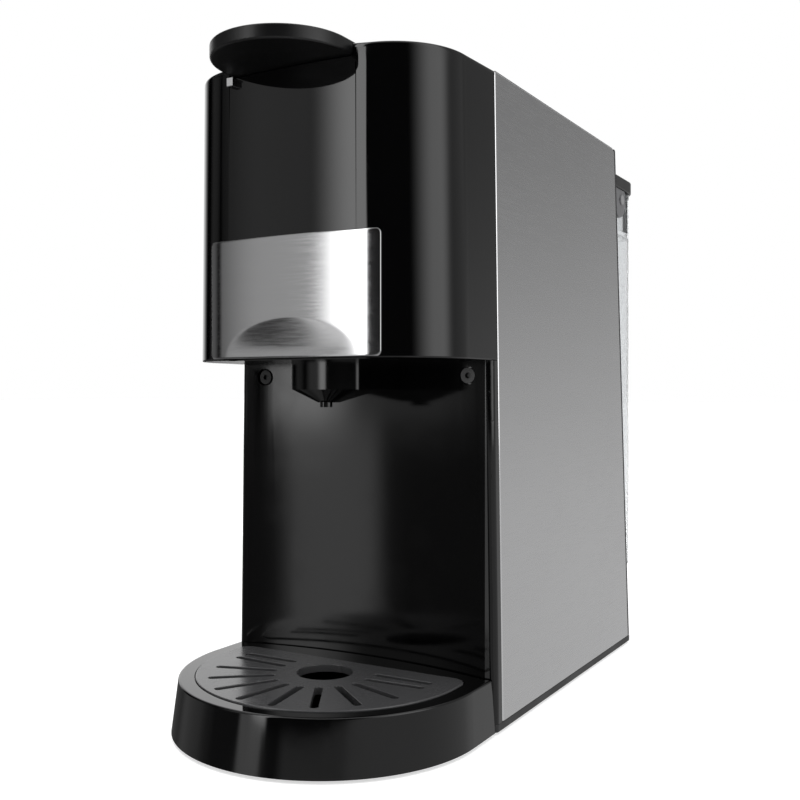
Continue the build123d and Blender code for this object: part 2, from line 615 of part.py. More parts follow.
with BuildPart() as heater_terminals:
    for side in (-1, 1):
        post(side * 20, HEATER_Y + 10, HEATER_TOP_Z, HEATER_TOP_Z + 4, 4.0)
        box(side * 20 - 0.4, side * 20 + 0.4, HEATER_Y + 7, HEATER_Y + 13, HEATER_TOP_Z + 4, HEATER_TOP_Z + 12)
save(heater_terminals.part, "heater_terminals")

with BuildPart() as pump_body:
    box(-19, 19, 20, 55, PUMP_Z - 19, PUMP_Z + 19)
    fillet(pump_body.edges().filter_by(Axis.Y), 3.0)
    rod((0, 1, 0), (0, 6, PUMP_Z), 64, 11.0)
    rod((0, 1, 0), (0, -2, PUMP_Z), 80, 4.0)
save(pump_body.part, "pump_body")

with BuildPart() as pump_mounts:
    for y in (9.0, 60.0):
        rod((0, 1, 0), (0, y, PUMP_Z), 6, 14.0)
        rod((0, 1, 0), (0, y, PUMP_Z), 6, 11.0, mode=Mode.SUBTRACT)
save(pump_mounts.part, "pump_mounts")

with BuildPart() as pump_cradle:
    for y in (10.5, 61.5):
        box(-22, 22, y, y + 3, BASE_TOP_Z, PUMP_Z + 16)
        rod((0, 1, 0), (0, y, PUMP_Z), 3, 14.0, mode=Mode.SUBTRACT)
    box(-22, -18, 13.5, 61.5, BASE_TOP_Z, BASE_TOP_Z + 3)
    box(18, 22, 13.5, 61.5, BASE_TOP_Z, BASE_TOP_Z + 3)
save(pump_cradle.part, "pump_cradle")

METER_Y = 84.0

with BuildPart() as flow_meter:
    post(0, METER_Y, BASE_TOP_Z, 20.0, 11.0)
    post(0, METER_Y, 20.0, 24.0, 4.0)
    rod((0, 1, 0), (0, METER_Y + 8, 12), 7.0, 3.8)
save(flow_meter.part, "flow_meter")

TUBE_R = 3.6
TUBE_BORE_R = 2.2
TUBES = {
    "feed_tube": [(0, SOCKET_Y, 17), (0, SOCKET_Y, 12), (0, METER_Y + 15, 12)],
    "suction_tube": [(0, METER_Y, 24), (0, METER_Y, PUMP_Z), (0, 78, PUMP_Z)],
    "pressure_tube": [(0, -2, PUMP_Z), (0, HEATER_Y, PUMP_Z), (0, HEATER_Y, HEATER_Z - 8)],
    "brew_tube": [(0, HEATER_Y, HEATER_TOP_Z + 8), (0, HEATER_Y, PORT_Z), (0, BREW_Y + CHAMBER_R + 6, PORT_Z)],
}
for name, path in TUBES.items():
    with BuildPart() as tube:
        with BuildLine() as route:
            FilletPolyline(*path, radius=4.6)
        with BuildSketch(Plane(origin=route.line @ 0, z_dir=route.line % 0)):
            Circle(TUBE_R)
            Circle(TUBE_BORE_R, mode=Mode.SUBTRACT)
        sweep(path=route.line)
    save(tube.part, name)

with BuildPart() as control_board:
    box(44.0, 45.6, -10, 70, 84, 150)
    for y in (-4.0, 64.0):
        for z in (90.0, 144.0):
            rod((1, 0, 0), (40, y, z), 10, 1.6, mode=Mode.SUBTRACT)
save(control_board.part, "control_board")

with BuildPart() as board_posts:
    for y in (-4.0, 64.0):
        for z in (90.0, 144.0):
            rod((1, 0, 0), (45.6, y, z), half_width(z) - SHELL_IN - 45.7, 3.0)
            rod((1, 0, 0), (42.6, y, z), 3.0, 1.5)
save(board_posts.part, "board_posts")

with BuildPart() as board_components:
    box(28, 44, 0, 22, 94, 116)
    box(30, 44, 34, 50, 92, 110)
    box(34, 44, 6, 24, 126, 140)
    for y, r, h in ((36, 5.0, 12), (50, 5.0, 12), (60, 3.5, 9)):
        rod((-1, 0, 0), (44, y, 130), h, r)
save(board_components.part, "board_components")

# ---------------------------------------------------------------- drip tray


def tray_section(z, inset, back):
    """Plan of the drip tray skirt, narrowing towards the rim."""
    t = (z - BASE_Z) / (TRAY_TOP_Z - BASE_Z)
    cy = TRAY_Y + t * (TRAY_RIM_Y - TRAY_Y)
    r = TRAY_R + t * (TRAY_RIM_R - TRAY_R) - inset
    with BuildLine() as outline:
        Polyline((-r, cy), (-r, back), (r, back), (r, cy))
        CenterArc((0, cy), r, 180, 180)
    make_face(outline.edges())


def grille_plan(grow):
    """Plan of the grille: a half disc with a straight back edge."""
    r = GRILLE_R + grow
    with Locations((0, GRILLE_Y)):
        Circle(r)
    with Locations((0, (GRILLE_Y + GRILLE_BACK_Y + grow) / 2)):
        Rectangle(2 * r, GRILLE_BACK_Y + grow - GRILLE_Y)
    with Locations((0, GRILLE_BACK_Y + grow + r)):
        Rectangle(2 * r, 2 * r, mode=Mode.SUBTRACT)


with BuildPart() as drip_tray:
    loft_between(TRAY_Z, TRAY_TOP_Z, lambda z: tray_section(z, 0, TRAY_BACK_Y))
    bay_slice(BAY_R - 0.5, LEDGE_Z, TRAY_TOP_Z, half=LEDGE_HALF, front=TRAY_BACK_Y - 0.5)
    fillet(drip_tray.faces().sort_by(Axis.Z)[-1].edges(), 0.8)
    with BuildSketch(Plane.XY.offset(SEAT_Z)):
        grille_plan(0.4)
        fillet(vertices().group_by(Axis.Y)[-1], 6.0)
    extrude(amount=10, mode=Mode.SUBTRACT)
    with BuildSketch(Plane.XY.offset(BASIN_Z)):
        grille_plan(-3.0)
        fillet(vertices().group_by(Axis.Y)[-1], 5.0)
    extrude(amount=20, mode=Mode.SUBTRACT)
    loft_between(TRAY_Z, TRAY_FLOOR_Z, lambda z: tray_section(z, 3.0, TRAY_BACK_Y + 1), mode=Mode.SUBTRACT)
    for side in (-1, 1):
        box(side * TAB_X - 7, side * TAB_X + 7, TRAY_BACK_Y - 1, COLUMN_FRONT_Y + BAY_DEPTH + 2,
            SLOT_Z - 1.5, SLOT_Z + 1.5)
save(drip_tray.part, "drip_tray")

FAN_IN = 18.4
FAN_OUT = 43.4
SLOT_W = 3.0

with BuildPart() as drip_grille:
    with BuildSketch(Plane.XY.offset(GRILLE_TOP_Z - GRILLE_T)):
        grille_plan(0)
        fillet(vertices().group_by(Axis.Y)[-1], 6.0)
        with Locations((0, DRAIN_Y)):
            Circle(DRAIN_R, mode=Mode.SUBTRACT)
        for i in range(5):
            for side in (-1, 1):
                angle = 2.5 - 20.75 * i if side > 0 else 177.5 + 20.75 * i
                middle = (FAN_IN + FAN_OUT) / 2
                with Locations(Location((middle * cos(radians(angle)), FAN_Y + middle * sin(radians(angle)), 0),
                                        (0, 0, angle))):
                    SlotOverall(FAN_OUT - FAN_IN, SLOT_W, mode=Mode.SUBTRACT)
        for side in (-1, 1):
            with Locations((side * (FAN_IN + FAN_OUT) / 2, FAN_Y + 8)):
                SlotOverall(FAN_OUT - FAN_IN, SLOT_W, mode=Mode.SUBTRACT)
    extrude(amount=GRILLE_T)
    fillet(drip_grille.faces().sort_by(Axis.Z)[-1].outer_wire().edges(), 0.5)
save(drip_grille.part, "drip_grille")

# ---------------------------------------------------------------- water tank

NECK_R = 7.4
NECK_Z = 25.0
LIP_Z = 235.5
LIP_INSET = 6.5
POCKET_Y0 = 97.0
POCKET_Y1 = 128.0
POCKET_Z = 216.0

with BuildPart() as tank_shelf:
    box(-SHELF_HALF, SHELF_HALF, REAR_Y_FLOOR + 0.1, SHELF_BACK_Y, BASE_TOP_Z, SHELF_TOP_Z)
    fillet(tank_shelf.edges().filter_by(Axis.Z).group_by(Axis.Y)[-1], 9.0)
    box(-SHELF_HALF + 2.4, SHELF_HALF - 2.4, REAR_Y_FLOOR - 2, SHELF_BACK_Y - 2.4, BASE_TOP_Z - 1,
        SHELF_TOP_Z - 2.5, mode=Mode.SUBTRACT)
    post(0, SOCKET_Y, SHELF_TOP_Z - 3, SHELF_TOP_Z + 1, 10.6, mode=Mode.SUBTRACT)
save(tank_shelf.part, "tank_shelf")

with BuildPart() as tank_socket:
    post(0, SOCKET_Y, 22.0, SHELF_TOP_Z, 10.6)
    post(0, SOCKET_Y, 23.5, SHELF_TOP_Z + 1, NECK_R + 0.7, mode=Mode.SUBTRACT)
    post(0, SOCKET_Y, 17.0, 22.0, 5.0)
    post(0, SOCKET_Y, 23.5, 25.2, 1.5)
    for i in range(4):
        post(3 * cos(radians(90 * i)), SOCKET_Y + 3 * sin(radians(90 * i)), 16, 24, 0.9, mode=Mode.SUBTRACT)
save(tank_socket.part, "tank_socket")

with BuildPart() as socket_gasket:
    post(0, SOCKET_Y, 23.5, 24.5, NECK_R + 0.7)
    post(0, SOCKET_Y, 23.5, 24.5, NECK_R - 1.8, mode=Mode.SUBTRACT)
save(socket_gasket.part, "socket_gasket")

with BuildPart() as tank_body:
    loft_between(TANK_Z, TANK_TOP_Z, lambda z: tank_section(z, 0, 0))
    fillet(tank_body.faces().sort_by(Axis.Z)[0].outer_wire().edges(), 3.0)
    for side in (-1, 1):
        x0, x1 = sorted((side * POCKET_X, side * (TANK_HALF + 1)))
        box(x0, x1, POCKET_Y0 - 10, POCKET_Y1, POCKET_Z, TANK_TOP_Z, mode=Mode.SUBTRACT)
    loft_between(TANK_Z + TANK_WALL, LIP_Z, lambda z: tank_section(z, 4.5, TANK_WALL), mode=Mode.SUBTRACT)
    loft_between(TANK_Z + TANK_WALL, POCKET_Z - TANK_WALL, lambda z: tank_section(z, TANK_WALL, TANK_WALL),
                 mode=Mode.SUBTRACT)
    loft_between(LIP_Z - 1, TANK_TOP_Z, lambda z: tank_section(z, LIP_INSET, LIP_INSET), mode=Mode.SUBTRACT)
    post(0, SOCKET_Y, TANK_Z - 1, TANK_Z + 3, NECK_R, mode=Mode.SUBTRACT)
    for side in (-1, 1):
        x0, x1 = sorted((side * 31.0, side * 36.0))
        box(x0, x1, rear_y(TANK_TOP_Z) + TANK_GAP + 0.6, TANK_HINGE_Y + 3.0, TANK_TOP_Z, TANK_HINGE_Z + 2.4)
        rod((1, 0, 0), (-40, TANK_HINGE_Y, TANK_HINGE_Z), 80, PIN_R, mode=Mode.SUBTRACT)
save(tank_body.part, "tank_body")

with BuildPart() as tank_neck:
    post(0, SOCKET_Y, NECK_Z, 38.0, NECK_R)
    post(0, SOCKET_Y, TANK_Z + TANK_WALL, 38.0, NECK_R + 2.2)
    post(0, SOCKET_Y, 30.0, 39.0, 5.6, mode=Mode.SUBTRACT)
    post(0, SOCKET_Y, NECK_Z - 1, 31.0, 3.4, mode=Mode.SUBTRACT)
save(tank_neck.part, "tank_neck")

with BuildPart() as tank_filter:
    post(0, SOCKET_Y, 38.0, 52.0, NECK_R)
    post(0, SOCKET_Y, 37.0, 50.8, NECK_R - 1.0, mode=Mode.SUBTRACT)
    for i in range(4):
        with BuildSketch(Plane(origin=(0, SOCKET_Y, 44.5), x_dir=(cos(radians(45 * i)), sin(radians(45 * i)), 0),
                               z_dir=(-sin(radians(45 * i)), cos(radians(45 * i)), 0))):
            RectangleRounded(2.6, 9.0, 1.2)
        extrude(amount=12, both=True, mode=Mode.SUBTRACT)
save(tank_filter.part, "tank_filter")

with BuildPart() as valve_poppet:
    post(0, SOCKET_Y, 25.7, 31.2, 1.6)
    post(0, SOCKET_Y, 31.1, 33.0, 5.0)
    post(0, SOCKET_Y, 33.0, 36.0, 1.6)
save(valve_poppet.part, "valve_poppet")

with BuildPart() as valve_seal:
    post(0, SOCKET_Y, 30.4, 31.1, 4.8)
    post(0, SOCKET_Y, 30.0, 31.2, 1.6, mode=Mode.SUBTRACT)
save(valve_seal.part, "valve_seal")

LID_EDGE_X = 48.4
LID_BACK_Y = TANK_BACK_Y - 5.0
BARREL_R = 2.6
BARREL_X = 30.6
LUG_RELIEF = 4.4

with BuildPart() as tank_lid:
    with BuildSketch(Plane.XY.offset(TANK_TOP_Z + 0.4)):
        with Locations((0, (TANK_HINGE_Y + 2 + LID_BACK_Y) / 2)):
            Rectangle(2 * LID_EDGE_X, LID_BACK_Y - TANK_HINGE_Y - 2)
        fillet(vertices().group_by(Axis.Y)[-1], 11.0)
    extrude(amount=2.4)
    box(-BARREL_X, BARREL_X, TANK_HINGE_Y - 1, TANK_HINGE_Y + 2.2, TANK_TOP_Z + 0.9, TANK_TOP_Z + 2.8)
    for x0, x1 in ((-LID_EDGE_X - 1, -BARREL_X), (BARREL_X, LID_EDGE_X + 1)):
        box(x0, x1, TANK_HINGE_Y, TANK_HINGE_Y + LUG_RELIEF, TANK_TOP_Z, TANK_TOP_Z + 4, mode=Mode.SUBTRACT)
    rod((1, 0, 0), (-BARREL_X, TANK_HINGE_Y, TANK_HINGE_Z), 2 * BARREL_X, BARREL_R)
    rod((1, 0, 0), (-40, TANK_HINGE_Y, TANK_HINGE_Z), 80, PIN_BORE_R, mode=Mode.SUBTRACT)
    box(-9, 9, LID_BACK_Y - 9, LID_BACK_Y - 6.6, TANK_TOP_Z + 2.8, TANK_TOP_Z + 5.4)
save(tank_lid.part, "tank_lid")

with BuildPart() as tank_hinge_pin:
    rod((1, 0, 0), (-36, TANK_HINGE_Y, TANK_HINGE_Z), 72, PIN_R)
save(tank_hinge_pin.part, "tank_hinge_pin")

HANDLE_Z = TANK_TOP_Z + 0.5
HANDLE_TOP_Z = 244.4
HANDLE_IN_X = 50.6
HANDLE_IN_Y = TANK_BACK_Y - 4.2
HANDLE_FRONT_Y = 104.0

with BuildPart() as tank_handle:
    with BuildSketch(Plane.XY.offset(HANDLE_Z)):
        with Locations((0, (HANDLE_FRONT_Y + TANK_BACK_Y) / 2)):
            Rectangle(2 * HANDLE_X, TANK_BACK_Y - HANDLE_FRONT_Y)
        fillet(vertices().group_by(Axis.Y)[-1], 16.0)
        with Locations((0, (HANDLE_FRONT_Y - 5 + HANDLE_IN_Y) / 2)):
            RectangleRounded(2 * HANDLE_IN_X, HANDLE_IN_Y - HANDLE_FRONT_Y + 5, 12.8, mode=Mode.SUBTRACT)
        with Locations((0, HANDLE_FRONT_Y + 4)):
            Rectangle(2 * HANDLE_IN_X, 26, mode=Mode.SUBTRACT)
    extrude(amount=HANDLE_TOP_Z - HANDLE_Z)
    fillet(tank_handle.faces().sort_by(Axis.Z)[-1].edges().filter_by(lambda e: e.center().Y > HANDLE_FRONT_Y + 1), 0.9)
save(tank_handle.part, "tank_handle")

with BuildPart() as handle_ears:
    for side in (-1, 1):
        x = side * (HANDLE_X + HANDLE_IN_X - 0.5) / 2 - 1.0
        with BuildSketch(Plane(origin=(x, 0, 0), x_dir=(0, 1, 0), z_dir=(1, 0, 0))):
            with Locations((EAR_Y - 2, EAR_Z)):
                Circle(9.5)
            with Locations((EAR_Y, HANDLE_Z + 3)):
                Rectangle(40, 6, mode=Mode.SUBTRACT)
            with Locations((EAR_Y, EAR_Z)):
                Circle(1.9, mode=Mode.SUBTRACT)
        extrude(amount=2.0)
save(handle_ears.part, "handle_ears")

with BuildPart() as pivot_pins:
    for side in (-1, 1):
        rod((side, 0, 0), (side * POCKET_X, EAR_Y, EAR_Z), HANDLE_X - POCKET_X - 0.6, 1.5)
        rod((side, 0, 0), (side * (HANDLE_X - 0.6), EAR_Y, EAR_Z), 0.6, 2.6)
save(pivot_pins.part, "pivot_pins")
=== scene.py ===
"""Looks of the pod coffee machine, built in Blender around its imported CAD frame."""
import json
from math import asin, cos, pi, radians, sin

import bmesh
import bpy
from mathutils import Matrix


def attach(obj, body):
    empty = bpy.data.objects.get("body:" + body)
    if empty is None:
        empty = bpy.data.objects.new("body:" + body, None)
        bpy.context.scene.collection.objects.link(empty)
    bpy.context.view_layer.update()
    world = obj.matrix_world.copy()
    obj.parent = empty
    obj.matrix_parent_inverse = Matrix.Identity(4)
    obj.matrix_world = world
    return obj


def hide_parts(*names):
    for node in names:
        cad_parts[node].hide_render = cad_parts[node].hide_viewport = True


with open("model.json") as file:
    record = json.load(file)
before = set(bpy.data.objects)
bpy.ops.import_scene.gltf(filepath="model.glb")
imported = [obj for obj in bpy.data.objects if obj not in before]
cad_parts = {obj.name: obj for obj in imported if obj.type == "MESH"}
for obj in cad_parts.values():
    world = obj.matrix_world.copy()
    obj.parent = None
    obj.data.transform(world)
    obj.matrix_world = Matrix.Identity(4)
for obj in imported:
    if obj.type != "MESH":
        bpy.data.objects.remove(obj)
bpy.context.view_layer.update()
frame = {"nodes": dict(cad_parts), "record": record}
NODES = frame["nodes"]
BODY_OF = {n: b for b, names in frame["record"]["behaviour"]["bodies"].items() for n in names}
SLOT_OF = {s["node"]: s["material_slot"] for s in frame["record"]["subparts"]}
MM = 0.001

# ---------------------------------------------------------------- camera, light and floor

CAMERA_PLACE = (0.21963, -0.40964, 0.13003)
CAMERA_TURN = (radians(90 - 0.453), 0.0, radians(29.974))
CAMERA_LENS = 45.33


def add_camera():
    """Camera at the reference view."""
    data = bpy.data.cameras.new("camera")
    data.lens = CAMERA_LENS
    data.sensor_width = 36.0
    data.clip_start = 0.01
    camera = bpy.data.objects.new("camera", data)
    camera.location = CAMERA_PLACE
    camera.rotation_euler = CAMERA_TURN
    bpy.context.scene.collection.objects.link(camera)
    bpy.context.scene.camera = camera


class Graph:
    """Short hand for building one node tree."""

    def __init__(self, tree):
        self.tree = tree

    def node(self, kind, **settings):
        made = self.tree.nodes.new(kind)
        for key, value in settings.items():
            setattr(made, key, value)
        return made

    def put(self, socket, value):
        if isinstance(value, bpy.types.NodeSocket):
            self.tree.links.new(value, socket)
        else:
            socket.default_value = value

    def math(self, operation, a, b=0.0):
        made = self.node("ShaderNodeMath", operation=operation)
        self.put(made.inputs[0], a)
        self.put(made.inputs[1], b)
        return made.outputs[0]

    def remap(self, value, lo, hi, out_lo=0.0, out_hi=1.0, soft=True):
        """Value moved from lo..hi to out_lo..out_hi, and held at the ends."""
        made = self.node("ShaderNodeMapRange", interpolation_type="SMOOTHSTEP" if soft else "LINEAR")
        self.put(made.inputs["Value"], value)
        for key, number in (("From Min", lo), ("From Max", hi), ("To Min", out_lo), ("To Max", out_hi)):
            made.inputs[key].default_value = number
        return made.outputs["Result"]

    def sum(self, values):
        total = values[0]
        for value in values[1:]:
            total = self.math("ADD", total, value)
        return total


# Studio as the glossy surfaces see it. Angles are in degrees round the machine from its front,
# positive to its right. A band is (starts, full from, full to, ends, brightness); white paper is 1.
# UPPER_BANDS lie above the horizon and LOWER_BANDS below it. SIDE_BAND blends from the first to the
# second of SIDE_LEVELS over the heights of SIDE_RISE. BAY_BAND and BAY_DARK light the cup bay's wall.
UPPER_BANDS = (
    (-220.0, -200.0, -120.0, -98.0, 1.5),
    (-92.0, -78.0, -72.0, -58.0, 0.18),
    (-60.0, -42.0, -33.0, -14.0, 0.58),
    (-31.5, -21.5, -15.5, -12.5, 4.3),
    (-14.0, -11.0, 46.0, 54.0, 0.02),
    (46.0, 84.0, 94.0, 120.0, 2.6),
    (108.0, 120.0, 168.0, 176.0, 0.5),
    (168.0, 178.0, 220.0, 230.0, 1.0),
)
LOWER_BANDS = (
    (-220.0, -200.0, -150.0, -140.0, 0.8),
    (-150.0, -140.0, -106.0, -92.0, 0.11),
    (-106.0, -92.0, -74.0, -62.0, 0.3),
    (-74.0, -62.0, -25.0, -19.0, 0.14),
    (-25.0, -19.0, 38.0, 46.0, 0.5),
    (38.0, 46.0, 220.0, 230.0, 0.7),
)
SIDE_BAND = (138.0, 146.0, 170.0, 178.0, 1.0)
SIDE_RISE = (-10.0, 18.0)
SIDE_LEVELS = (0.78, 0.34)
BAY_BAND = (-36.0, -32.0, -18.0, -15.0, 1.15)
BAY_DARK = (-62.0, -56.0, -6.0, 2.0, 0.08)
HORIZON = (-2.2, -1.2)
BAY_LOW = (-17.5, -15.0)
CEILING = (38.0, 60.0)
CEILING_LEVEL = 1.3


def band(g, angle, shape):
    start, full, fade, end, level = shape
    rise = g.remap(angle, start, full)
    fall = g.remap(angle, fade, end, 1.0, 0.0)
    return g.math("MULTIPLY", g.math("MULTIPLY", rise, fall), level)


def blend_values(g, share, low, high):
    """low where share is 0, high where it is 1."""
    kept = g.math("MULTIPLY", low, g.math("SUBTRACT", 1.0, share))
    return g.math("ADD", kept, g.math("MULTIPLY", high, share))


def add_world():
    """White paper for the camera, and soft boxes and dark flags for everything else."""
    world = bpy.data.worlds.new("studio")
    world.use_nodes = True
    bpy.context.scene.world = world
    world.node_tree.nodes.clear()
    g = Graph(world.node_tree)
    place = g.node("ShaderNodeTexCoord")
    split = g.node("ShaderNodeSeparateXYZ")
    g.put(split.inputs[0], place.outputs["Generated"])
    x, y, z = split.outputs
    degrees = 180.0 / pi
    turn = g.math("MULTIPLY", g.math("ARCTAN2", x, g.math("MULTIPLY", y, -1.0)), degrees)
    rise = g.math("MULTIPLY", g.math("ARCSINE", z), degrees)
    upper = g.sum([band(g, turn, b) for b in UPPER_BANDS])
    lower = g.sum([band(g, turn, b) for b in LOWER_BANDS])
    bay_dark = g.remap(turn, *BAY_DARK[:2])
    bay_dark = g.math("MULTIPLY", bay_dark, g.remap(turn, *BAY_DARK[2:4], 1.0, 0.0))
    middle = blend_values(g, bay_dark, lower, g.math("ADD", band(g, turn, BAY_BAND), BAY_DARK[4]))
    below = blend_values(g, g.remap(rise, *BAY_LOW), lower, middle)
    level = blend_values(g, g.remap(rise, *HORIZON), below, upper)
    level = blend_values(g, band(g, turn, SIDE_BAND), level, g.remap(rise, *SIDE_RISE, *SIDE_LEVELS))
    level = blend_values(g, g.remap(rise, *CEILING), level, CEILING_LEVEL)
    studio = g.node("ShaderNodeBackground")
    g.put(studio.inputs["Strength"], level)
    paper = g.node("ShaderNodeBackground")
    path = g.node("ShaderNodeLightPath")
    choice = g.node("ShaderNodeMixShader")
    g.put(choice.inputs[0], path.outputs["Is Camera Ray"])
    g.put(choice.inputs[1], studio.outputs[0])
    g.put(choice.inputs[2], paper.outputs[0])
    paper.inputs["Color"].default_value = (1.0, 1.0, 1.0, 1.0)
    out = g.node("ShaderNodeOutputWorld")
    g.put(out.inputs["Surface"], choice.outputs[0])


TOP_PANEL_PLACE = (0.1, -0.25, 1.3)
TOP_PANEL_SIZE = (1.2, 1.2)
TOP_PANEL_POWER = 9.0


def add_light(name, place, size, power):
    """Soft overhead panel that lights the matt parts and stays out of the reflections."""
    data = bpy.data.lights.new(name, "AREA")
    data.shape = "RECTANGLE"
    data.size, data.size_y = size
    data.energy = power
    light = bpy.data.objects.new(name, data)
    light.location = place
    light.visible_glossy = False
    light.visible_camera = False
    bpy.context.scene.collection.objects.link(light)


FLOOR_HALF = 12.0
FLOOR_TONE = (0.62, 0.62, 0.62, 1.0)
FLOOR_GLOW = 0.62


def add_floor():
    """Pale floor, kept out of the glossy reflections, which the studio bands give."""
    mesh = bpy.data.meshes.new("floor")
    corners = [(x * FLOOR_HALF, y * FLOOR_HALF, 0) for x, y in ((-1, -1), (1, -1), (1, 1), (-1, 1))]
    mesh.from_pydata(corners, [], [(0, 1, 2, 3)])
    floor = bpy.data.objects.new("floor", mesh)
    bpy.context.scene.collection.objects.link(floor)
    material = bpy.data.materials.new("floor_paper")
    material.use_nodes = True
    shader = material.node_tree.nodes["Principled BSDF"]
    shader.inputs["Base Color"].default_value = FLOOR_TONE
    shader.inputs["Roughness"].default_value = 1.0
    shader.inputs["Specular IOR Level"].default_value = 0.0
    shader.inputs["Emission Color"].default_value = (1.0, 1.0, 1.0, 1.0)
    shader.inputs["Emission Strength"].default_value = FLOOR_GLOW
    mesh.materials.append(material)
    floor.visible_glossy = False


# ---------------------------------------------------------------- materials


class Finish(Graph):
    """One procedural material with its principled shader."""

    def __init__(self, name, **sockets):
        self.material = bpy.data.materials.new(name)
        self.material.use_nodes = True
        super().__init__(self.material.node_tree)
        self.shader = self.tree.nodes["Principled BSDF"]
        self.set(**sockets)
        coordinates = self.node("ShaderNodeTexCoord")
        self.place = coordinates.outputs["Object"]

    def set(self, **sockets):
        """Write values on the shader; names use _ for a space."""
        for key, value in sockets.items():
            self.put(self.shader.inputs[key.replace("_", " ")], value)

    def stretched(self, scale):
        mapping = self.node("ShaderNodeMapping")
        self.put(mapping.inputs["Vector"], self.place)
        mapping.inputs["Scale"].default_value = scale
        return mapping.outputs["Vector"]

    def noise(self, scale, detail=3.0, stretch=(1.0, 1.0, 1.0), roughness=0.5):
        made = self.node("ShaderNodeTexNoise")
        self.put(made.inputs["Vector"], self.stretched(stretch))
        made.inputs["Scale"].default_value = scale
        made.inputs["Detail"].default_value = detail
        made.inputs["Roughness"].default_value = roughness
        return made.outputs["Fac"]

    def cells(self, scale):
        made = self.node("ShaderNodeTexVoronoi", feature="F1")
        self.put(made.inputs["Vector"], self.place)
        made.inputs["Scale"].default_value = scale
        return made.outputs["Distance"]

    def shade(self, factor, dark, light):
        """Colour between two tones by a 0 to 1 factor."""
        made = self.node("ShaderNodeMix", data_type="RGBA")
        self.put(made.inputs["Factor"], factor)
        for socket in made.inputs:
            if socket.type == "RGBA":
                socket.default_value = (*light, 1.0) if socket.name == "B" else (*dark, 1.0)
        return [o for o in made.outputs if o.type == "RGBA"][0]

    def edges(self, lo=0.52, hi=0.6):
        """1 on worn convex edges, 0 on flats."""
        geometry = self.node("ShaderNodeNewGeometry")
        return self.remap(geometry.outputs["Pointiness"], lo, hi)

    def relief(self, layers):
        """Bump from (height, strength, distance in mm) layers, and the normal that they make."""
        normal = None
        for height, strength, distance in layers:
            bump = self.node("ShaderNodeBump")
            self.put(bump.inputs["Height"], height)
            bump.inputs["Strength"].default_value = strength
            bump.inputs["Distance"].default_value = distance * MM
            if normal is not None:
                self.put(bump.inputs["Normal"], normal)
            normal = bump.outputs["Normal"]
        self.put(self.shader.inputs["Normal"], normal)


def gloss_black():
    """Polished black ABS with a faint orange peel, finger smears and a few dust specks."""
    f = Finish("gloss_black_abs", IOR=1.5)
    smear = f.remap(f.noise(38.0, 4.0), 0.45, 0.75)
    dust = f.remap(f.noise(2600.0, 1.0), 0.72, 0.8)
    rough = f.sum([f.remap(smear, 0.0, 1.0, 0.035, 0.075), f.math("MULTIPLY", dust, 0.05),
                   f.math("MULTIPLY", f.edges(), 0.08)])
    f.set(Roughness=rough, Base_Color=f.shade(dust, (0.0008, 0.0008, 0.0009), (0.006, 0.006, 0.006)))
    f.relief([(f.noise(240.0, 2.0), 0.05, 0.05), (f.noise(3200.0, 2.0), 0.02, 0.004)])
    return f.material


def satin_black():
    """Black plastic with a fine spark-eroded grain, polished a little on its edges."""
    f = Finish("satin_black_abs", IOR=1.46)
    grain = f.noise(4200.0, 3.0)
    patch = f.noise(45.0, 3.0)
    rough = f.math("SUBTRACT", f.remap(patch, 0.3, 0.7, 0.3, 0.4), f.math("MULTIPLY", f.edges(), 0.08))
    f.set(Roughness=rough, Base_Color=f.shade(grain, (0.0016, 0.0016, 0.0018), (0.0042, 0.0042, 0.0044)))
    f.relief([(grain, 0.22, 0.02), (f.cells(2600.0), 0.1, 0.01)])
    return f.material


def moulded_black():
    """Plain textured black moulding of the back and the base."""
    f = Finish("moulded_black", IOR=1.46)
    grain = f.noise(2600.0, 4.0)
    patch = f.noise(30.0, 3.0)
    f.set(Roughness=f.remap(patch, 0.3, 0.7, 0.42, 0.55),
          Base_Color=f.shade(grain, (0.007, 0.007, 0.0075), (0.016, 0.016, 0.0165)))
    f.relief([(f.cells(1500.0), 0.3, 0.03), (grain, 0.2, 0.02)])
    return f.material


def grille_plastic():
    """Dark grey satin plastic, with spark-eroded grain and faint water marks."""
    f = Finish("grille_satin_grey", IOR=1.5)
    grain = f.noise(3600.0, 3.0)
    marks = f.remap(f.noise(90.0, 5.0), 0.5, 0.7)
    rough = f.sum([f.remap(grain, 0.2, 0.8, 0.2, 0.28), f.math("MULTIPLY", marks, 0.06)])
    f.set(Roughness=rough, Base_Color=f.shade(grain, (0.045, 0.045, 0.047), (0.07, 0.07, 0.072)))
    f.relief([(grain, 0.12, 0.02)])
    return f.material


def brushed_steel(name, stretch, tone, rough_lo, rough_hi, anisotropic=0.0, turn=0.0):
    """Brushed stainless sheet: long fine lines and a cloudy roughness."""
    f = Finish(name, Metallic=1.0, Anisotropic=anisotropic, Anisotropic_Rotation=turn)
    lines = f.noise(1500.0, 4.0, stretch, 0.7)
    broad = f.noise(140.0, 3.0, stretch)
    cloud = f.noise(16.0, 3.0)
    rough = f.sum([f.remap(lines, 0.3, 0.7, rough_lo, rough_hi),
                   f.remap(cloud, 0.3, 0.7, -0.02, 0.02, False)])
    light = tuple(min(1.0, c * 1.04) for c in tone)
    dark = tuple(c * 0.97 for c in tone)
    mixed = f.math("MULTIPLY", f.math("ADD", lines, broad), 0.5)
    f.set(Roughness=rough, Base_Color=f.shade(mixed, dark, light))
    f.relief([(lines, 0.03, 0.005), (broad, 0.02, 0.01)])
    return f.material


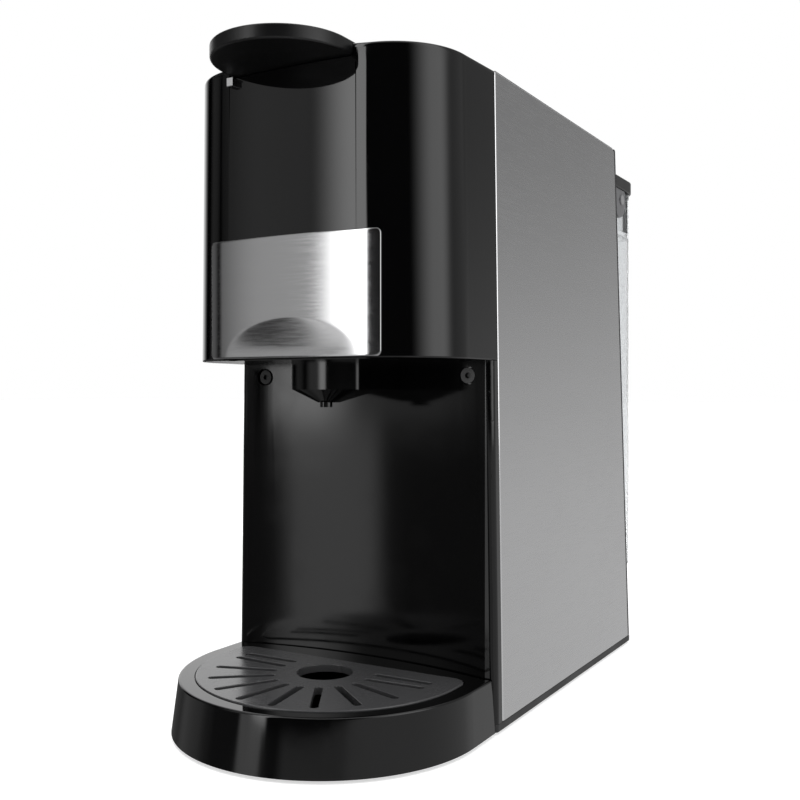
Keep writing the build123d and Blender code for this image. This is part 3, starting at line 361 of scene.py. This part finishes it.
def polished_metal(name, tone, rough):
    """Turned and polished metal with hairline marks."""
    f = Finish(name, Metallic=1.0)
    hair = f.noise(1800.0, 4.0, (1.0, 1.0, 7.0), 0.6)
    f.set(Roughness=f.remap(hair, 0.3, 0.8, rough, rough + 0.08),
          Base_Color=f.shade(hair, tuple(0.93 * c for c in tone), tone))
    f.relief([(hair, 0.06, 0.008)])
    return f.material


def clear_plastic():
    """Clear SAN with a light smoke tint, soft flow marks and fine scratches."""
    f = Finish("clear_tank_plastic", IOR=1.52, Transmission_Weight=0.9,
               Base_Color=(0.93, 0.945, 0.955, 1.0))
    flow = f.noise(26.0, 2.0, (1.0, 1.0, 0.3))
    scratch = f.remap(f.noise(700.0, 4.0, (1.0, 1.0, 0.06), 0.7), 0.62, 0.7)
    f.set(Roughness=f.sum([f.remap(flow, 0.3, 0.7, 0.03, 0.08), f.math("MULTIPLY", scratch, 0.1)]))
    f.relief([(flow, 0.12, 0.4), (scratch, 0.05, 0.01)])
    return f.material


def plain_plastic(name, dark, light, rough=(0.38, 0.5)):
    """Moulded engineering plastic with a fine grain."""
    f = Finish(name, IOR=1.48)
    grain = f.noise(2400.0, 3.0)
    cloud = f.noise(60.0, 3.0)
    mixed = f.math("MULTIPLY", f.math("ADD", grain, cloud), 0.5)
    f.set(Roughness=f.remap(cloud, 0.3, 0.7, *rough), Base_Color=f.shade(mixed, dark, light))
    f.relief([(grain, 0.15, 0.02)])
    return f.material


def rubber(name="moulded_rubber", dark=(0.012, 0.012, 0.012), light=(0.028, 0.028, 0.028)):
    """Matt rubber with a bloom of dust."""
    f = Finish(name, IOR=1.45)
    bloom = f.noise(180.0, 5.0)
    f.set(Roughness=f.remap(bloom, 0.3, 0.7, 0.62, 0.8), Base_Color=f.shade(bloom, dark, light))
    f.relief([(f.noise(3000.0, 3.0), 0.3, 0.03)])
    return f.material


def silicone():
    """Milky silicone hose and seal rubber."""
    f = Finish("milky_silicone", IOR=1.41, Subsurface_Weight=0.25, Subsurface_Scale=0.002,
               Subsurface_Radius=(1.0, 0.9, 0.8))
    cloud = f.noise(130.0, 3.0)
    f.set(Roughness=f.remap(cloud, 0.3, 0.7, 0.3, 0.42),
          Base_Color=f.shade(cloud, (0.66, 0.65, 0.62), (0.8, 0.79, 0.76)))
    f.relief([(cloud, 0.08, 0.1)])
    return f.material


def cast_metal():
    """Sand-grey cast aluminium with a coarse skin."""
    f = Finish("cast_aluminium", Metallic=0.9)
    skin = f.noise(520.0, 5.0)
    f.set(Roughness=f.remap(skin, 0.3, 0.7, 0.4, 0.58),
          Base_Color=f.shade(skin, (0.42, 0.42, 0.42), (0.6, 0.6, 0.6)))
    f.relief([(skin, 0.4, 0.15)])
    return f.material


def zinc_sheet():
    """Galvanised sheet with a spangle."""
    f = Finish("zinc_sheet", Metallic=0.95)
    spangle = f.node("ShaderNodeTexVoronoi", feature="F1")
    f.put(spangle.inputs["Vector"], f.place)
    spangle.inputs["Scale"].default_value = 160.0
    tone = f.node("ShaderNodeSeparateColor")
    f.put(tone.inputs[0], spangle.outputs["Color"])
    f.set(Roughness=f.remap(tone.outputs[0], 0.0, 1.0, 0.26, 0.42, False),
          Base_Color=f.shade(tone.outputs[1], (0.5, 0.51, 0.52), (0.68, 0.69, 0.7)))
    f.relief([(f.noise(900.0, 3.0), 0.08, 0.02)])
    return f.material


def circuit_board():
    """Green solder mask over fine copper tracks."""
    f = Finish("circuit_board", IOR=1.5)
    brick = f.node("ShaderNodeTexBrick")
    f.put(brick.inputs["Vector"], f.place)
    brick.inputs["Scale"].default_value = 260.0
    brick.inputs["Mortar Size"].default_value = 0.06
    tracks = brick.outputs["Fac"]
    f.set(Roughness=f.remap(f.noise(200.0), 0.3, 0.7, 0.25, 0.4),
          Base_Color=f.shade(tracks, (0.012, 0.09, 0.035), (0.03, 0.17, 0.06)))
    f.relief([(tracks, 0.2, 0.03)])
    return f.material


FINISHES = {
    "black_gloss": gloss_black(),
    "black_satin": satin_black(),
    "moulded_black": moulded_black(),
    "button_plastic": plain_plastic("button_grey", (0.03, 0.03, 0.032), (0.05, 0.05, 0.052)),
    "grille_satin": grille_plastic(),
    "steel_panel": brushed_steel("brushed_side_steel", (1.0, 0.05, 1.0), (0.56, 0.56, 0.565), 0.2, 0.3),
    "steel_badge": brushed_steel("brushed_badge_steel", (0.05, 1.0, 1.0), (0.52, 0.52, 0.525), 0.1, 0.17),
    "bright_metal": polished_metal("polished_steel", (0.82, 0.82, 0.83), 0.08),
    "rubber": rubber(),
    "clear_tank": clear_plastic(),
    "grey_plastic": plain_plastic("grey_plastic", (0.1, 0.1, 0.105), (0.15, 0.15, 0.155)),
    "white_plastic": plain_plastic("white_plastic", (0.68, 0.68, 0.66), (0.8, 0.8, 0.78)),
    "zinc_sheet": zinc_sheet(),
    "cast_aluminium": cast_metal(),
    "silicone": silicone(),
    "board_green": circuit_board(),
    "board_parts": plain_plastic("component_black", (0.02, 0.02, 0.022), (0.05, 0.05, 0.052)),
    "spacer_plastic": plain_plastic("spacer_white", (0.55, 0.55, 0.53), (0.7, 0.7, 0.68)),
}
NODE_FINISH = {"base_plate": "moulded_black", "rear_cover": "moulded_black", "tank_shelf": "moulded_black",
               "cord_gland": "moulded_black"}


def finish_of(node):
    return FINISHES[NODE_FINISH.get(node, SLOT_OF[node])]


for name, obj in NODES.items():
    obj.data.materials.clear()
    obj.data.materials.append(finish_of(name))

# ---------------------------------------------------------------- rounded skins over the CAD nodes

FLAT_ANGLE = radians(0.3)
SHARP_ANGLE = radians(28.0)
SMOOTH_LIMIT = radians(42.0)


def finish_mesh(piece):
    """Smooth shading with flat faces kept flat."""
    mesh = piece.data
    for polygon in mesh.polygons:
        polygon.use_smooth = True
    mesh.set_sharp_from_angle(angle=SMOOTH_LIMIT)
    weighted = piece.modifiers.new("flat_faces", "WEIGHTED_NORMAL")
    weighted.keep_sharp = True


def place_piece(name, bm, body, material):
    """New piece from a bmesh, riding on its body."""
    mesh = bpy.data.meshes.new(name)
    bm.to_mesh(mesh)
    bm.free()
    piece = bpy.data.objects.new(name, mesh)
    bpy.context.scene.collection.objects.link(piece)
    mesh.materials.append(material)
    finish_mesh(piece)
    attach(piece, body)
    return piece


def replace_node(node, name, bm):
    """New piece that stands in for one CAD node, on its body and with its finish."""
    piece = place_piece(name, bm, BODY_OF[node], finish_of(node))
    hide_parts(node)


def cad_mesh(node):
    """Welded copy of a CAD node's mesh, with its flat faces whole."""
    bm = bmesh.new()
    bm.from_mesh(NODES[node].data)
    bmesh.ops.remove_doubles(bm, verts=bm.verts, dist=0.002 * MM)
    bmesh.ops.dissolve_limit(bm, angle_limit=FLAT_ANGLE, verts=bm.verts, edges=bm.edges)
    for layers in (bm.loops.layers.float_vector, bm.loops.layers.uv):
        for layer in list(layers):
            layers.remove(layer)
    return bm


def round_edges(bm, width, where=None, segments=3):
    """Round the sharp outer edges whose middle passes the test, by width in mm."""
    picked = []
    for edge in bm.edges:
        if len(edge.link_faces) != 2 or not edge.is_convex or edge.calc_face_angle(0.0) < SHARP_ANGLE:
            continue
        middle = (edge.verts[0].co + edge.verts[1].co) / 2 / MM
        if where is None or where(middle):
            picked.append(edge)
    if picked:
        bmesh.ops.bevel(bm, geom=picked, offset=width * MM, segments=segments, profile=0.5,
                        affect="EDGES", clamp_overlap=False)
        bmesh.ops.remove_doubles(bm, verts=bm.verts, dist=0.001 * MM)


def skin(node, name, *rounds):
    """Visible skin of one CAD node: its own shape with rounded edges."""
    bm = cad_mesh(node)
    for width, where in rounds:
        round_edges(bm, width, where)
    replace_node(node, name, bm)


TOP_Z = 253.0
SEAM_Z = 251.2
HEAD_Z = 142.0


COVER_RIM_Z = TOP_Z - 0.2
HEAD_BACK_Y = -62.0
HEAD_RIM_X = 30.0
BODY_RIM_X = 55.0
STEEL_EDGE_Y = -57.2
STEEL_TOP_Z = 252.0


def anywhere(point):
    return True


def cover_top(point):
    return point.z > COVER_RIM_Z


def cover_rim(point):
    """Outer rim of the top cover: round the head, and along the body's sides."""
    reach = HEAD_RIM_X if point.y < HEAD_BACK_Y else BODY_RIM_X
    return cover_top(point) and abs(point.x) > reach


def steel_edge(point):
    return point.y < STEEL_EDGE_Y or point.z > STEEL_TOP_Z


skin("top_cover", "top_casing", (1.1, cover_rim), (0.35, cover_top))
skin("drip_grille", "grille_plate", (0.3, anywhere))
for side_name in ("left", "right"):
    skin("side_panel_" + side_name, "steel_skin_" + side_name, (0.8, steel_edge), (0.2, anywhere))
for node, piece_name, radius in (
        ("rear_cover", "rear_casing", 0.4), ("base_plate", "base_casing", 0.3),
        ("tank_handle", "tank_grip", 0.4), ("handle_ears", "grip_ears", 0.3),
        ("tank_lid", "tank_cap", 0.4), ("tank_shelf", "tank_ledge", 0.4),
        ("cord_gland", "cord_sleeve", 0.3), ("button_bezels", "button_rings", 0.15)):
    skin(node, piece_name, (radius, anywhere))

# ---------------------------------------------------------------- drawn skins of the curved gloss parts

SIDE_HALF = 61.84
SIDE_DRAFT = 0.0142
PANEL_FRONT_Y = -57.5
HEAD_FRONT_Y = -110.7
FACE_R = 300.0
CORNER_R = 30.0
CORNER_X = 27.0
SIDE_Y = -79.0
SHELL_BACK_Y = -57.75
WALL = 2.4
TUB_HALF = 28.6
TUB_Z = 246.5
SCOOP_GAP = 32.0
SCOOP_GAP_Z = 159.6
LIP_R = 0.7
FACE_STEPS = 16
CORNER_STEPS = 40
CORNER_START = 11.0


def quarter(z, radius, lower, steps=5):
    """(height, inset) points of a rounded edge that runs between a flat face and a wall."""
    points = []
    for i in range(steps + 1):
        turn = pi / 2 * i / steps
        points.append((z + radius * (1 - cos(turn)) if lower else z - radius * (1 - sin(turn)),
                       radius * (1 - sin(turn) if lower else 1 - cos(turn))))
    return points


def head_ring(z, inset):
    """Open plan of the head, from its left rear edge round the bowed front to its right rear edge."""
    corner_x = CORNER_X + SIDE_DRAFT * (TOP_Z - z)
    reach = FACE_R - CORNER_R
    face_y = HEAD_FRONT_Y + FACE_R
    corner_y = face_y - (reach ** 2 - corner_x ** 2) ** 0.5
    bow = asin(corner_x / reach)
    half = []
    for i in range(FACE_STEPS):
        turn = bow * i / FACE_STEPS
        half.append(((FACE_R - inset) * sin(turn), face_y - (FACE_R - inset) * cos(turn)))
    half.append((TUB_HALF, face_y - ((FACE_R - inset) ** 2 - TUB_HALF ** 2) ** 0.5))
    turns = [CORNER_START + (90.0 - CORNER_START) * i / CORNER_STEPS for i in range(CORNER_STEPS + 1)]
    for turn in (asin((SCOOP_GAP - corner_x) / CORNER_R), *(radians(t) for t in turns)):
        half.append((corner_x + (CORNER_R - inset) * sin(turn), corner_y - (CORNER_R - inset) * cos(turn)))
    side_x = corner_x + CORNER_R
    flare = (SIDE_HALF - SIDE_DRAFT * z - side_x) / (PANEL_FRONT_Y - SIDE_Y)
    half.append((side_x + flare * (SHELL_BACK_Y - SIDE_Y) - inset, SHELL_BACK_Y))
    return [(-x, y) for x, y in half[:0:-1]] + half


def loft_rings(rings, closed=False, skip=None, caps=False):
    """Grid mesh through rings of equal length, each a (z, [(x, y), ...]) pair, in mm."""
    bm = bmesh.new()
    rows = [[bm.verts.new((x * MM, y * MM, z * MM)) for x, y in ring] for z, ring in rings]
    count = len(rows[0])
    for (z0, ring), low, high, (z1, _) in zip(rings, rows, rows[1:], rings[1:]):
        for i in range(count if closed else count - 1):
            k = (i + 1) % count
            if skip is None or not skip((ring[i][0] + ring[k][0]) / 2, (z0 + z1) / 2):
                bm.faces.new((low[i], low[k], high[k], high[i]))
    if caps:
        bm.faces.new(rows[0][::-1])
        bm.faces.new(rows[-1])
    loose = [v for v in bm.verts if not v.link_faces]
    bmesh.ops.delete(bm, geom=loose, context="VERTS")
    bmesh.ops.remove_doubles(bm, verts=bm.verts, dist=0.0005 * MM)
    bmesh.ops.recalc_face_normals(bm, faces=bm.faces)
    return bm


def add_head_casing():
    """Head shell with a rounded lower lip and gaps for the badge scoop and the lid tub."""
    profile = [(HEAD_Z + 3.0, WALL), (HEAD_Z, WALL), *quarter(HEAD_Z, LIP_R, True), (SCOOP_GAP_Z, 0.0),
               (TUB_Z, 0.0), (SEAM_Z, 0.0), (SEAM_Z, WALL), (TUB_Z, WALL)]
    rings = [(z, head_ring(z, inset)) for z, inset in profile]
    bm = loft_rings(rings, skip=lambda x, z: abs(x) < SCOOP_GAP and z < SCOOP_GAP_Z - 0.1
                    or abs(x) < TUB_HALF and z > TUB_Z)
    replace_node("head_shell", "head_casing", bm)


LID_R = 26.5
LID_Y = -113.3
LID_Z = 249.2
LID_TOP_Z = 254.5
LID_LOW_R = 0.9
LID_HIGH_R = 0.7
LID_STEPS = 72
HINGE_Y = -46.0
BARREL_STEPS = 48


def lid_ring(inset):
    """Closed plan of the lid lever with its half-round front."""
    ring = [(LID_R - inset, HINGE_Y)]
    for i in range(LID_STEPS + 1):
        turn = pi * i / LID_STEPS
        ring.append(((LID_R - inset) * cos(turn), LID_Y - (LID_R - inset) * sin(turn)))
    return ring + [(inset - LID_R, HINGE_Y)]


def add_lid_casing():
    """Lid lever: a tongue with soft edges and a round barrel at its hinge."""
    profile = quarter(LID_Z, LID_LOW_R, True) + quarter(LID_TOP_Z, LID_HIGH_R, False)
    bm = loft_rings([(z, lid_ring(inset)) for z, inset in profile], closed=True, caps=True)
    radius = (LID_TOP_Z - LID_Z) / 2
    ends = [[], []]
    for k, x in enumerate((-LID_R, LID_R)):
        for i in range(BARREL_STEPS):
            turn = 2 * pi * i / BARREL_STEPS
            ends[k].append(bm.verts.new((x * MM, (HINGE_Y + radius * cos(turn)) * MM,
                                         (LID_Z + radius + radius * sin(turn)) * MM)))
    for i in range(BARREL_STEPS):
        k = (i + 1) % BARREL_STEPS
        bm.faces.new((ends[0][i], ends[0][k], ends[1][k], ends[1][i]))
    bm.faces.new(ends[0])
    bm.faces.new(ends[1][::-1])
    bmesh.ops.recalc_face_normals(bm, faces=bm.faces)
    replace_node("lid_shell", "lid_casing", bm)


def place_metal(name, rings):
    """Closed polished piece on the machine."""
    bm = loft_rings(rings, closed=True, caps=True)
    place_piece(name, bm, "machine", FINISHES["bright_metal"])


EDGE_R = 0.8
EDGE_LIFT = 0.02
EDGE_STEPS = 8
EDGE_INSET = 0.3
EDGE_HEIGHTS = (4.4, 64.0, 128.0, 192.0, 252.2)


def add_panel_edge(side, name):
    """Polished round edge down the front of one steel side skin."""
    rings = []
    for z in EDGE_HEIGHTS:
        centre = SIDE_HALF - SIDE_DRAFT * z - EDGE_R
        ring = []
        for i in range(EDGE_STEPS + 1):
            turn = pi / 2 * i / EDGE_STEPS
            ring.append((side * (centre + (EDGE_R + EDGE_LIFT) * sin(turn)),
                         PANEL_FRONT_Y + EDGE_R - (EDGE_R + EDGE_LIFT) * cos(turn)))
        ring.append((side * (centre + EDGE_INSET), PANEL_FRONT_Y + EDGE_R))
        rings.append((z, ring))
    place_metal(name, rings)


BADGE_HALF = 38.1
BADGE_Z = 142.6
BADGE_TOP_Z = 187.5
BADGE_OUT = 0.8
BADGE_CORNER = 1.8
SCOOP_HALF = 30.0
SCOOP_HEIGHT = 15.0
SCOOP_DEPTH = 1.1
SCOOP_SOFTNESS = 1.3
BADGE_ROWS = 90
BADGE_COLUMNS = 150
# Rim of the badge from its back edge to its face: (distance in from the edge, distance behind the face)
RIM = ((0.0, 0.8), (0.0, 0.3), (0.04, 0.15), (0.15, 0.04), (0.3, 0.0))


def face_y(x):
    """Front of the head at x, over its gently bowed face and its corners."""
    corner_x = CORNER_X + SIDE_DRAFT * (TOP_Z - BADGE_Z)
    reach = FACE_R - CORNER_R
    centre = HEAD_FRONT_Y + FACE_R
    bow = asin(corner_x / reach)
    if abs(x) <= FACE_R * sin(bow):
        return centre - (FACE_R ** 2 - x ** 2) ** 0.5
    corner_y = centre - (reach ** 2 - corner_x ** 2) ** 0.5
    return corner_y - (CORNER_R ** 2 - (abs(x) - corner_x) ** 2) ** 0.5


def rimmed_ticks(length, steps):
    """(place, distance behind the face) of the grid lines across one direction of the badge."""
    margin = RIM[-1][0]
    inner = [(margin + (length - 2 * margin) * i / steps, 0.0) for i in range(1, steps)]
    return list(RIM) + inner + [(length - inset, back) for inset, back in RIM[::-1]]


def add_badge_face():
    """Bowed steel badge with a bevelled rim and a shallow smooth scoop over the spout."""
    bm = bmesh.new()
    rows = []
    height = BADGE_TOP_Z - BADGE_Z
    for rise, back_z in rimmed_ticks(height, BADGE_ROWS):
        from_end = min(rise, height - rise)
        cut = max(0.0, BADGE_CORNER - from_end)
        half = BADGE_HALF - BADGE_CORNER + (BADGE_CORNER ** 2 - cut ** 2) ** 0.5
        row = []
        for along, back_x in rimmed_ticks(2 * BADGE_HALF, BADGE_COLUMNS):
            x = (along - BADGE_HALF) * half / BADGE_HALF
            inside = max(0.0, 1.0 - (x / SCOOP_HALF) ** 2 - (rise / SCOOP_HEIGHT) ** 2)
            scoop = SCOOP_DEPTH * inside ** SCOOP_SOFTNESS
            y = face_y(x) - BADGE_OUT + scoop + max(back_x, back_z)
            row.append(bm.verts.new((x * MM, y * MM, (BADGE_Z + rise) * MM)))
        rows.append(row)
    for low, high in zip(rows, rows[1:]):
        for i in range(len(low) - 1):
            bm.faces.new((low[i], low[i + 1], high[i + 1], high[i]))
    replace_node("badge_plate", "badge_face", bm)


TAB_LEFT, TAB_RIGHT = -27.4, -24.6
TAB_FRONT_Y, TAB_BACK_Y = -112.2, -108.5
TAB_Z, TAB_TOP_Z = 245.2, 248.4
TAB_ROUND = 0.3


def add_latch_tab():
    """Small bright catch under the lid, at the left of the head's notch."""
    rings = []
    for z, inset in quarter(TAB_Z, TAB_ROUND, True) + [(TAB_TOP_Z, 0.0)]:
        left, right, front = TAB_LEFT + inset, TAB_RIGHT - inset, TAB_FRONT_Y + inset
        rings.append((z, [(left, front), (right, front), (right, TAB_BACK_Y), (left, TAB_BACK_Y)]))
    place_metal("latch_tab", rings)


add_head_casing()
add_badge_face()
add_latch_tab()
add_lid_casing()
add_panel_edge(-1, "panel_edge_left")
add_panel_edge(1, "panel_edge_right")

# ---------------------------------------------------------------- finish

add_camera()
add_world()
add_light("top_panel", TOP_PANEL_PLACE, TOP_PANEL_SIZE, TOP_PANEL_POWER)
add_floor()
bpy.context.scene.view_settings.view_transform = "Standard"
